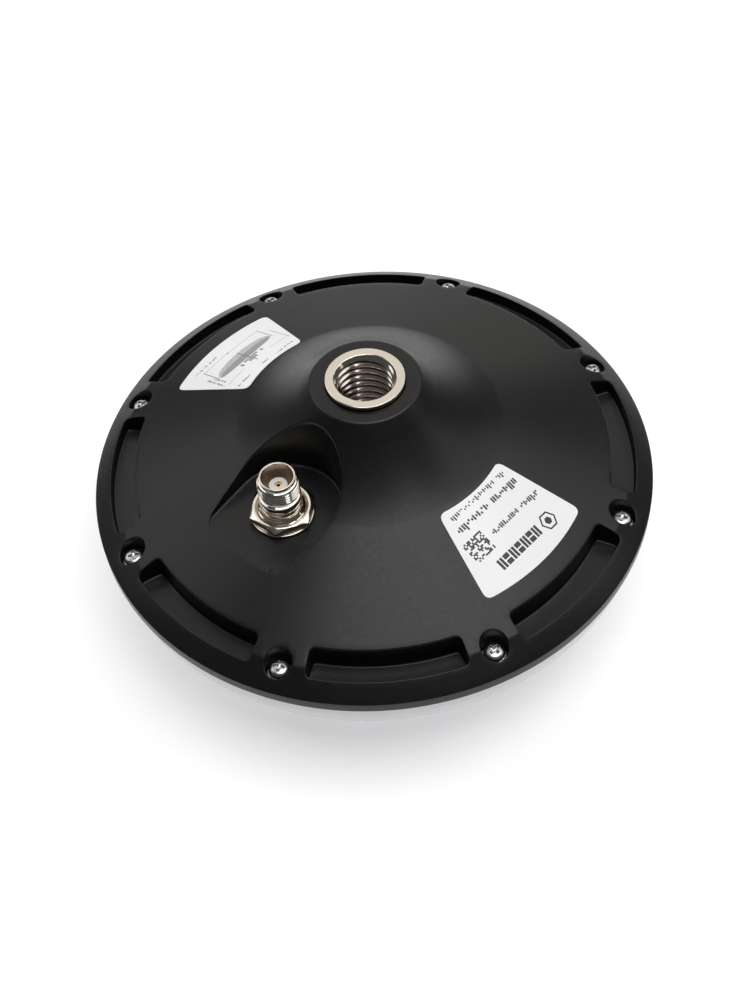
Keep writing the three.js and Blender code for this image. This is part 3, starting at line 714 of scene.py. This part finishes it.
# ---- Threaded insert ----
def build_insert():
    pitch = 25.4 / 11
    minor, major = 6.88, 7.94
    body_r = 9
    floor_z = INSERT_LOW[2] + 2
    mouth_r = 8.15  # a 45-degree lead-in narrows from here to the crests
    helix = thread(floor_z + 0.5, TOP_Z - 0.06, pitch, major, minor)
    flange_r, flange_z = INSERT_HIGH[0], 60.1
    stem = [(0, INSERT_LOW[2]), (body_r, INSERT_LOW[2], 0.3), (body_r, flange_z, 0.1)]
    flange = [(flange_r, flange_z, 0.2), (flange_r, TOP_Z, 0.25)]
    outside = rounded([*stem, *flange, (mouth_r + 0.05, TOP_Z, 0.05), (mouth_r, TOP_Z - 0.05)], 4)

    def column(angle):
        r, z = helix(angle).T
        r = np.minimum(r, minor + z - z[0])
        lead_in = mouth_r - (TOP_Z - z)
        bore = np.stack([np.maximum(r, lead_in), z], 1)[::-1]
        return np.concatenate([outside, bore, [(minor, floor_z), (0, floor_z)]])

    start = len(outside)
    bore_rows = (start, start + len(helix(0)), -ROWS_PER_TURN)
    verts, faces = turned(column, 180, wraps=[bore_rows])
    piece("insert_thread", verts, faces, INSERT_METAL, "nickel_plate", ["thread_insert"], sharp=50)


# ---- Cover screws and washers ----
def build_screw(index, x, y):
    head_r, shank_r, tip_z = 2.75, 1.45, 15.8
    under = SCREW_TOP_Z - 1.5
    cross_r = 1.9  # the samples lie closer together up to here
    radii = np.concatenate([np.linspace(0, cross_r, 34), np.linspace(cross_r, head_r, 14)[1:]])
    turn = math.radians(23 + 61 * index)  # every cross stands differently
    arm_length, arm_half, arm_taper, wall = 1.42, 0.44, 0.08, 0.14

    def recess(px, py):
        """0 outside the cross and 1 in it, with soft walls; the arms narrow towards their tips."""
        u = px * math.cos(turn) + py * math.sin(turn)
        v = py * math.cos(turn) - px * math.sin(turn)
        depth = 0.0
        for a, b in ((abs(u), abs(v)), (abs(v), abs(u))):
            gap = max(a - arm_length, b - (arm_half - arm_taper * a))
            depth = max(depth, min(1.0, max(0.0, 0.5 - gap / wall)))
        return depth * depth * (3 - 2 * depth)

    shank = rounded(
        [(0, tip_z), (0.8, tip_z, 0.1), (shank_r, tip_z + 1), (shank_r, under), (head_r - 0.1, under, 0.05),
         (head_r, under + 0.2, 0.1), (head_r, under + 0.55)], 3)

    def column(angle):
        r = radii[::-1]
        z = SCREW_TOP_Z - 0.72 * (r / head_r) ** 5 - 0.2 * (r / head_r) ** 2
        cut = np.array([recess(q * math.cos(angle), q * math.sin(angle)) for q in r])
        return np.concatenate([shank, np.stack([r, z - cut * (1.1 - 0.35 * (r / 1.4) ** 2)], 1)])

    verts, faces = turned(column, 112, (x, y))
    piece(f"screw_{index + 1}", verts, faces, STEEL, "stainless", [f"cover_screw_{index + 1}"], sharp=55)

    low, high, washer_r = WASHER_Z, WASHER_Z + 0.5, 3.2
    section = rounded(
        [(SCREW_HOLE_R, low), (washer_r, low, 0.1), (washer_r, high, 0.12), (SCREW_HOLE_R + 0.1, high, 0.1),
         (SCREW_HOLE_R, low + 0.3), (SCREW_HOLE_R, low)], 3)
    verts, faces = turned(section[:-1], 64, (x, y), closed=True)
    piece(f"flat_washer_{index + 1}", verts, faces, STEEL, "stainless", [f"cover_washer_{index + 1}"])


def build_spring_washer(index, x, y):
    """Split ring whose ends stand a little apart in height."""
    low, high = (corner[2] for corner in box_mm(f"spring_washer_{index + 1}"))
    lift, gap = 0.14, math.radians(9)
    start = math.radians(140 + 77 * index)  # every gap stands differently
    inner_r, outer_r, flat_z = 1.8, 2.8, high - lift
    base = rounded(
        [(inner_r, low), (outer_r, low, 0.06), (outer_r, flat_z, 0.08), (inner_r, flat_z, 0.05),
         (inner_r, low)], 2)[:-1]
    steps, count = 60, len(base)
    verts, faces = [], []
    for share in np.linspace(0, 1, steps):
        angle = start + gap / 2 + share * (TAU - gap)
        r, z = base.T
        verts.append(np.stack([x + r * math.cos(angle), y + r * math.sin(angle), z + lift * share], 1))
    for i in range(steps - 1):
        for k in range(count):
            n = (k + 1) % count
            faces.append((i * count + k, (i + 1) * count + k, (i + 1) * count + n, i * count + n))
    faces += [tuple(range(count)), tuple(range((steps - 1) * count, steps * count))[::-1]]
    name = f"split_washer_{index + 1}"
    piece(name, np.concatenate(verts), faces, STEEL, "stainless", [f"spring_washer_{index + 1}"])


# ---- Connector ----
def build_jack():
    low, top = JACK_LOW[2], JACK_HIGH[2]
    flange_r, flange_z = JACK_HIGH[0], 34.6
    core_r = 2.6  # bore for the insulator, below the socket
    pitch = 25.4 / 28
    panel_z, panel_r = (39.5, 43.1), 5.85  # the thread through the housing, under the nut
    coupling_z, coupling_r = (48.6, 52.75), 4.92  # the thread that a plug screws onto
    panel = thread(*panel_z, pitch, panel_r, 6.35)
    coupling = thread(*coupling_z, pitch, coupling_r, 5.4)
    panel_end_r, coupling_end_r = 5.75, 4.9
    foot = rounded(
        [(core_r, low), (flange_r, low, 0.3), (flange_r, flange_z, 0.3), (panel_r, flange_z),
         (panel_r, panel_z[0])], 3)
    neck = rounded(
        [(panel_end_r, panel_z[1]), (5.5, 43.4, 0.1), (5.5, 45.15, 0.1), (5.36, 45.3, 0.05),
         (5.36, 45.42, 0.05), (5.46, 45.55, 0.1), (5.46, 47.45, 0.3), (4.8, 47.7, 0.15), (4.8, 48.3, 0.15),
         (coupling_end_r, coupling_z[0])], 3)
    mouth = rounded(
        [(coupling_end_r, coupling_z[1]), (4.45, 52.85, 0.1), (4.4, 53.7, 0.08), (4.65, 53.85, 0.08),
         (4.65, top, 0.14), (4.15, top, 0.12), (4.1, 46.2), (4.1, 45.0, 0.3), (core_r, 45.0),
         (core_r, low)], 4)

    def run_out(rows, end_r, slope):
        """Thread rows that start and stop at end_r, rising to the full thread by the slope."""
        r, z = rows.T
        return np.stack([np.minimum(r, end_r + np.minimum(z[-1] - z, z - z[0]) * slope), z], 1)

    def column(angle):
        lower = run_out(panel(angle), panel_end_r, 1.1)
        upper = run_out(coupling(angle), coupling_end_r, 0.9)
        return np.concatenate([foot, lower, neck, upper, mouth[:-1]])

    panel_end = len(foot) + len(panel(0))
    coupling_start = panel_end + len(neck)
    panel_rows = (len(foot), panel_end, ROWS_PER_TURN)
    coupling_rows = (coupling_start, coupling_start + len(coupling(0)), ROWS_PER_TURN)
    verts, faces = turned(column, 128, JACK, closed=True, wraps=[panel_rows, coupling_rows])
    piece("jack_shell", verts, faces, JACK_METAL, "nickel_plate", ["tnc_body"], sharp=50)

    low, high = box_mm("tnc_center_contact")
    pin_r, hole_r, hole_depth = (high[0] - low[0]) / 2, 0.45, 4
    face_z = box_mm("tnc_dielectric")[1][2]
    bore, core_low = pin_r + 0.05, 31.5
    core = rounded(
        [(bore, core_low), (2.3, core_low), (2.3, 45.3), (3.8, 45.3), (3.8, 46.3, 0.2), (2.4, 46.3, 0.2),
         (2.4, face_z, 0.2), (bore, face_z, 0.05), (bore, core_low)], 4)
    verts, faces = turned(core[:-1], 64, JACK, closed=True)
    piece("jack_insulator", verts, faces, PTFE, "ptfe", ["tnc_dielectric"])

    pin = rounded(
        [(0, low[2]), (pin_r, low[2], 0.2), (pin_r, high[2], 0.15), (hole_r, high[2], 0.1),
         (hole_r, high[2] - hole_depth + 0.2), (0, high[2] - hole_depth)], 4)
    verts, faces = turned(pin, 48, JACK)
    piece("jack_socket", verts, faces, GOLD, "gold_plate", ["tnc_center_contact"])


def build_nut():
    """Hexagonal nut with its corners cut back by a chamfer, and the washer under it."""
    low_z, top_z = NUT_LOW[2], NUT_HIGH[2]
    skew, sixth = math.radians(3), math.pi / 3
    corner_r = (NUT_HIGH[0] - NUT_LOW[0]) / 2 / math.cos(skew)
    flat_r = corner_r * math.cos(sixth / 2)
    crown_r = flat_r - 0.3
    bore_r = 6.4
    share = np.linspace(0, 1, 37)[:-1]
    eased = share - 0.12 * np.sin(TAU * share) / TAU  # columns lie closer together near the corners
    angles = np.concatenate([skew + (side + eased) * sixth for side in range(6)])

    def column(angle):
        off = (angle - skew) % sixth - sixth / 2
        r_out = min(flat_r / math.cos(off), corner_r - 0.12)
        past = max(0.0, r_out - crown_r)
        top_edge, low_edge = top_z - past * 0.58, low_z + past * 0.3
        return rounded(
            [(bore_r, low_z + 0.3), (bore_r + 0.3, low_z, 0.05), (crown_r, low_z, 0.1),
             (r_out, low_edge, 0.08), (r_out, top_edge, 0.1), (crown_r, top_z, 0.15),
             (bore_r + 0.55, top_z, 0.08), (bore_r, top_z - 0.5, 0.05), (bore_r, low_z + 0.3)], 3)[:-1]

    verts, faces = turned(column, angles, JACK, closed=True)
    piece("jack_nut", verts, faces, NICKEL, "nickel_plate", ["tnc_hex_nut"], sharp=28)

    low, high = box_mm("tnc_washer")
    r_out, r_in = (high[0] - low[0]) / 2, 6.5
    ring = rounded(
        [(r_in, low[2]), (r_out, low[2], 0.1), (r_out, high[2], 0.2), (r_in + 0.1, high[2], 0.1),
         (r_in, low[2] + 0.2), (r_in, low[2])], 3)
    verts, faces = turned(ring[:-1], 128, JACK, closed=True)
    piece("jack_washer", verts, faces, NICKEL, "nickel_plate", ["tnc_washer"])


# ---- Labels ----
LABEL = {"length": 23.0, "half_span": 18.25, "corner": 2.0}
SPEC = {"azimuth": -1.1, "inner": 36.4}
DIAGRAM = {"azimuth": 181.65, "inner": 35.3}
FILM_LOW, FILM_TOP, INK_TOP = 0.01, 0.13, 0.145  # above the cone
SLANT = math.atan(CONE_SLOPE)


def on_cone(outline, place):
    """Puts label coordinates on the cone: the first runs clockwise round it and the second outward."""
    u, v = outline[:, 0], outline[:, 1]
    middle = (place["inner"] + LABEL["length"] / 2) / math.cos(SLANT)
    turn = math.radians(place["azimuth"]) - np.arctan2(u, v + middle) / math.cos(SLANT)
    r = np.hypot(u, v + middle) * math.cos(SLANT)
    return np.stack([r * np.cos(turn), r * np.sin(turn)], 1)


def sheet_between(shell, outlines, low, high, grid):
    """A thin closed sheet that follows the cone between two offsets above it."""

    def above(offset):
        return lambda xy: cone_z(np.linalg.norm(np.asarray(xy).reshape(-1, 2), axis=1)) + offset

    tops = [shell.ring(outline, above(high)(outline)) for outline in outlines]
    lows = [shell.ring(outline, above(low)(outline)) for outline in outlines]
    shell.fill(tops, above(high), grid)
    shell.fill(lows, above(low), grid)
    for top, bottom in zip(tops, lows):
        shell.loft(top, bottom)


def build_film(name, node_name, place):
    shell = Shell()
    inner, outer = place["inner"], place["inner"] + LABEL["length"]
    outline = sector(inner, outer, LABEL["half_span"], LABEL["corner"], place["azimuth"], 0.6)
    sheet_between(shell, [outline], FILM_LOW, FILM_TOP, polar_grid(inner, outer, 1.1, 1.1))
    piece(name, shell.verts, shell.faces, FILM, "label_film", [node_name])


PRINT_STEP = 0.9  # longest straight run of printed shapes, so that they can bend with the cone


def bar(u0, v0, u1, v1):
    """Closed rectangle outline in label coordinates."""
    sides = [(u0, v0, u1, v0), (u1, v0, u1, v1), (u1, v1, u0, v1), (u0, v1, u0, v0)]
    points = []
    for a, b, c, d in sides:
        count = max(1, math.ceil(math.hypot(c - a, d - b) / PRINT_STEP))
        points.extend((a + (c - a) * i / count, b + (d - b) * i / count) for i in range(count))
    return np.array(points)


def stroke(u0, v0, u1, v1, width):
    """Straight line of some width between two label points."""
    length = math.hypot(u1 - u0, v1 - v0)
    flat = bar(0, -width / 2, length, width / 2)
    c, s = (u1 - u0) / length, (v1 - v0) / length
    return np.stack([u0 + flat[:, 0] * c - flat[:, 1] * s, v0 + flat[:, 0] * s + flat[:, 1] * c], 1)


def print_shapes(name, shapes, place, material):
    """One piece holding printed shapes; each shape is a list of outlines, the first its outside."""
    shell = Shell()
    for outlines in shapes:
        placed = [on_cone(outline, place) for outline in outlines]
        low, high = placed[0].min(0), placed[0].max(0)
        across = np.arange(low[0], high[0], PRINT_STEP)
        along = np.arange(low[1], high[1], PRINT_STEP)
        grid = np.stack(np.meshgrid(across, along), -1).reshape(-1, 2)
        sheet_between(shell, placed, FILM_TOP, INK_TOP, grid)
    piece(name, shell.verts, shell.faces, material, "label_film")


def print_row(u0, u1, v, height, words, rng, weight=0.33):
    """Groups of plain bars of uneven height and level: from afar a line of print, but without letters."""
    shapes = []
    gap = 0.8  # between groups, in cells
    cell = (u1 - u0) / (sum(words) + gap * (len(words) - 1))
    levels = ((0.0, 0.7), (0.0, 0.7), (0.0, 0.28), (0.42, 0.7), (0.2, 0.5), (0.0, 1.0))
    u = u0
    for length in words:
        for _ in range(length):
            for side in (0.04, 0.5):
                left = u + side * cell
                low, high = rng.choice(levels)
                shapes.append([bar(left, v + low * height, left + weight * cell, v + high * height)])
            u += cell
        u += gap * cell
    return shapes


def heading_blocks(u0, u1, v, height, count):
    """Bold row of whole and split blocks."""
    cell = (u1 - u0) / count
    shapes = []
    for k in range(count):
        left, right = u0 + cell * (k + 0.06), u0 + cell * (k + 0.88)
        if k % 2:
            shapes.append([bar(left, v, right, v + 0.44 * height)])
            shapes.append([bar(left, v + 0.56 * height, right, v + height)])
        else:
            shapes.append([bar(left, v, left + 0.42 * (right - left), v + height)])
            shapes.append([bar(left + 0.58 * (right - left), v, right, v + height)])
    return shapes


def build_spec_label():
    """A ring mark and a bold row, rows of black print, and a field of scattered squares."""
    rng = random.Random(7)
    build_film("spec_film", "label_spec", SPEC)
    mark = np.array([-9.3, 6.0])
    shapes = [[circle(2.6, 6, mark), circle(2.1, 6, mark)], [circle(1.1, 6, mark)]]
    shapes += heading_blocks(-5.6, 9.9, 4.4, 3.0, 7)
    shapes += print_row(-13.4, 4.8, -2.0, 1.9, (5, 7), rng)
    shapes += print_row(-11.3, 11.3, -8.2, 2.2, (6, 7), rng)
    shapes += print_row(-10.3, 10.2, -11.4, 1.5, (2, 11), rng, 0.28)
    cell, rows, columns = 0.5, 12, 13
    side = cell * 0.96
    for row in range(rows):
        for column in range(columns):
            if rng.random() < 0.5:
                u, v = 6.7 + cell * column, -4.2 + cell * row
                shapes.append([bar(u, v, u + side, v + side)])
    print_shapes("spec_print", shapes, SPEC, INK_BLACK)


def build_diagram_label():
    """A side view of a lens-shaped body between dimension lines, with rows of grey print round it."""
    rng = random.Random(11)
    build_film("diagram_film", "label_diagram", DIAGRAM)
    half = 10.1

    def lens(outer_bulge, inner_bulge, narrow=1.0):
        a = np.linspace(0, math.pi, 40)
        outer = np.stack([narrow * half * np.cos(a), outer_bulge * np.sin(a) ** 0.8], 1)
        inner = np.stack([-narrow * half * np.cos(a), -inner_bulge * np.sin(a) ** 0.7], 1)
        return np.concatenate([outer[:-1], inner[:-1]]) + (0, -1.2)

    body, shade = lens(3.6, 1.7), lens(1.2, 1.55, 0.97)
    print_shapes("diagram_body", [[body, shade]], DIAGRAM, INK_PALE)
    boss = (
        (-2.6, -4.1, 2.6, -3.2), (-4.2, -4.9, -3.4, -3.4), (-1.5, -5.4, 1.5, -4.3), (3.5, -4.7, 4.4, -3.6),
    )
    print_shapes("diagram_shade", [[shade]] + [[bar(*block)] for block in boss], DIAGRAM, INK_GREY)
    lines = (
        (-10.4, 5.9, 10.7, 5.4, 0.1), (-10.4, 6.2, -10.6, -1.1, 0.2), (10.8, 5.4, 10.5, -1.9, 0.2),
        (0.0, 2.6, -0.1, -7.0, 0.22), (-11.8, -6.3, -4.9, -6.0, 0.09), (5.6, -6.2, 12.4, -6.8, 0.09),
        (-12.3, 0.4, -12.4, -5.6, 0.08), (12.5, 1.7, 12.1, -7.6, 0.14),
    )
    shapes = [[stroke(*line)] for line in lines] + [[circle(0.3, 16, (-0.9, 5.65))]]
    shapes += print_row(-12.1, -3.4, 7.6, 0.9, (4, 2, 4), rng)
    shapes += print_row(-11.2, -6.3, -10.4, 0.8, (2, 5), rng)
    shapes += print_row(-1.2, 1.2, -10.4, 0.8, (3,), rng)
    shapes += print_row(4.1, 10.4, -11.0, 0.8, (4, 2, 4), rng)
    for u, low, high in ((-12.7, -4.6, 2.2), (-11.4, -4.4, 0.8)):
        rows = print_row(low, high, 0.0, 0.8, (4, 5), rng)
        shapes += [[outline[:, ::-1] + (u, 0)] for outline, in rows]
    print_shapes("diagram_lines", shapes, DIAGRAM, INK_DARK_GREY)


# ---- Hidden nodes keep their CAD shape and get their own finish ----
def finish_hidden_nodes():
    finishes = {
        "perimeter_seal": RUBBER, "tnc_o_ring": RUBBER, "ground_plate": ALUMINIUM, "lna_board": LAMINATE,
        "lower_patch": LAMINATE, "upper_patch": LAMINATE, "lower_spacer": NYLON, "upper_spacer": NYLON,
        "shield_can": TIN, "coax_pigtail": JACKET,
    }
    finishes.update({f"feed_pin_{i}": GOLD for i in range(1, 5)})
    finishes.update({f"stack_screw_{i}": STEEL for i in range(1, 5)})
    for name, material in finishes.items():
        obj = frame["nodes"][name]
        obj.data.materials.clear()
        obj.data.materials.append(material)


# ---- Camera, light and floor ----
AIM = Vector((-0.00008, -0.00008, 0.01134))  # metres
VIEW = {"azimuth": 45.546, "elevation": 51.815, "roll": 4.928, "distance": 0.41313, "lens": 52.56}


def aimed(obj, azimuth, elevation, distance, roll=0.0):
    """Adds a camera or light that looks at AIM from an azimuth and elevation in degrees."""
    a, e = math.radians(azimuth), math.radians(elevation)
    back = Vector((math.sin(a) * math.cos(e), -math.cos(a) * math.cos(e), math.sin(e)))
    facing = (-back).to_track_quat("-Z", "Y").to_matrix() @ Matrix.Rotation(-math.radians(roll), 3, "Z")
    obj.matrix_world = Matrix.Translation(AIM + back * distance) @ facing.to_4x4()
    bpy.context.scene.collection.objects.link(obj)


def add_camera():
    data = bpy.data.cameras.new("camera")
    data.lens = VIEW["lens"]
    data.sensor_width = 36
    data.clip_start = 0.01
    camera = bpy.data.objects.new("camera", data)
    aimed(camera, VIEW["azimuth"], VIEW["elevation"], VIEW["distance"], VIEW["roll"])
    bpy.context.scene.camera = camera


def add_softbox(name, azimuth, elevation, distance, width, height, radiance, colour=(1, 1, 1)):
    """Rectangular softbox, its sizes in metres."""
    data = bpy.data.lights.new(name, "AREA")
    data.shape = "RECTANGLE"
    data.size = width
    data.size_y = height
    data.energy = radiance * math.pi * width * height
    data.color = colour
    aimed(bpy.data.objects.new(name, data), azimuth, elevation, distance)


def add_stage():
    """White floor that the antenna lies on, and a dim studio round it."""
    verts, faces = turned(np.array([(0.0, 0.0), (1500.0, 0.0), (6000.0, 0.0)]), 64)
    floor_material = bpy.data.materials.new("floor")
    floor_material.use_nodes = True
    tree = floor_material.node_tree
    shader = tree.nodes["Principled BSDF"]
    shader.inputs["Roughness"].default_value = 0.6
    coords = node(tree, "ShaderNodeTexCoord")
    drift = noise(tree, coords.outputs["Object"], 6, 3)
    tree.links.new(tint(tree, drift, (0.83, 0.83, 0.83), (0.86, 0.86, 0.86)), shader.inputs["Base Color"])
    shader.inputs["Emission Color"].default_value = (1, 1, 1, 1)
    shader.inputs["Emission Strength"].default_value = 0.3
    floor = new_object("floor", verts, faces, floor_material)
    world = bpy.data.worlds.new("studio")
    world.use_nodes = True
    background = world.node_tree.nodes["Background"]
    background.inputs["Color"].default_value = (0.97, 0.985, 1.0, 1)
    background.inputs["Strength"].default_value = 0.08
    bpy.context.scene.world = world
    bpy.context.scene.view_settings.view_transform = "Standard"


add_camera()
add_stage()
# name, azimuth, elevation, distance, width, height, radiance
add_softbox("overhead", 125, 82, 1.3, 1.0, 1.0, 3.2)
add_softbox("back", 222, 35, 1.7, 1.8, 1.5, 0.92, (1.0, 0.96, 0.9))
add_softbox("left", 284, 43, 1.5, 1.1, 1.0, 1.3)
add_softbox("right", 150, 48, 1.5, 1.1, 1.0, 1.3)

build_base()
build_radome()
build_insert()
for number, (screw_x, screw_y) in enumerate(SCREWS):
    build_screw(number, screw_x, screw_y)
    build_spring_washer(number, screw_x, screw_y)
build_jack()
build_nut()
build_spec_label()
build_diagram_label()
finish_hidden_nodes()
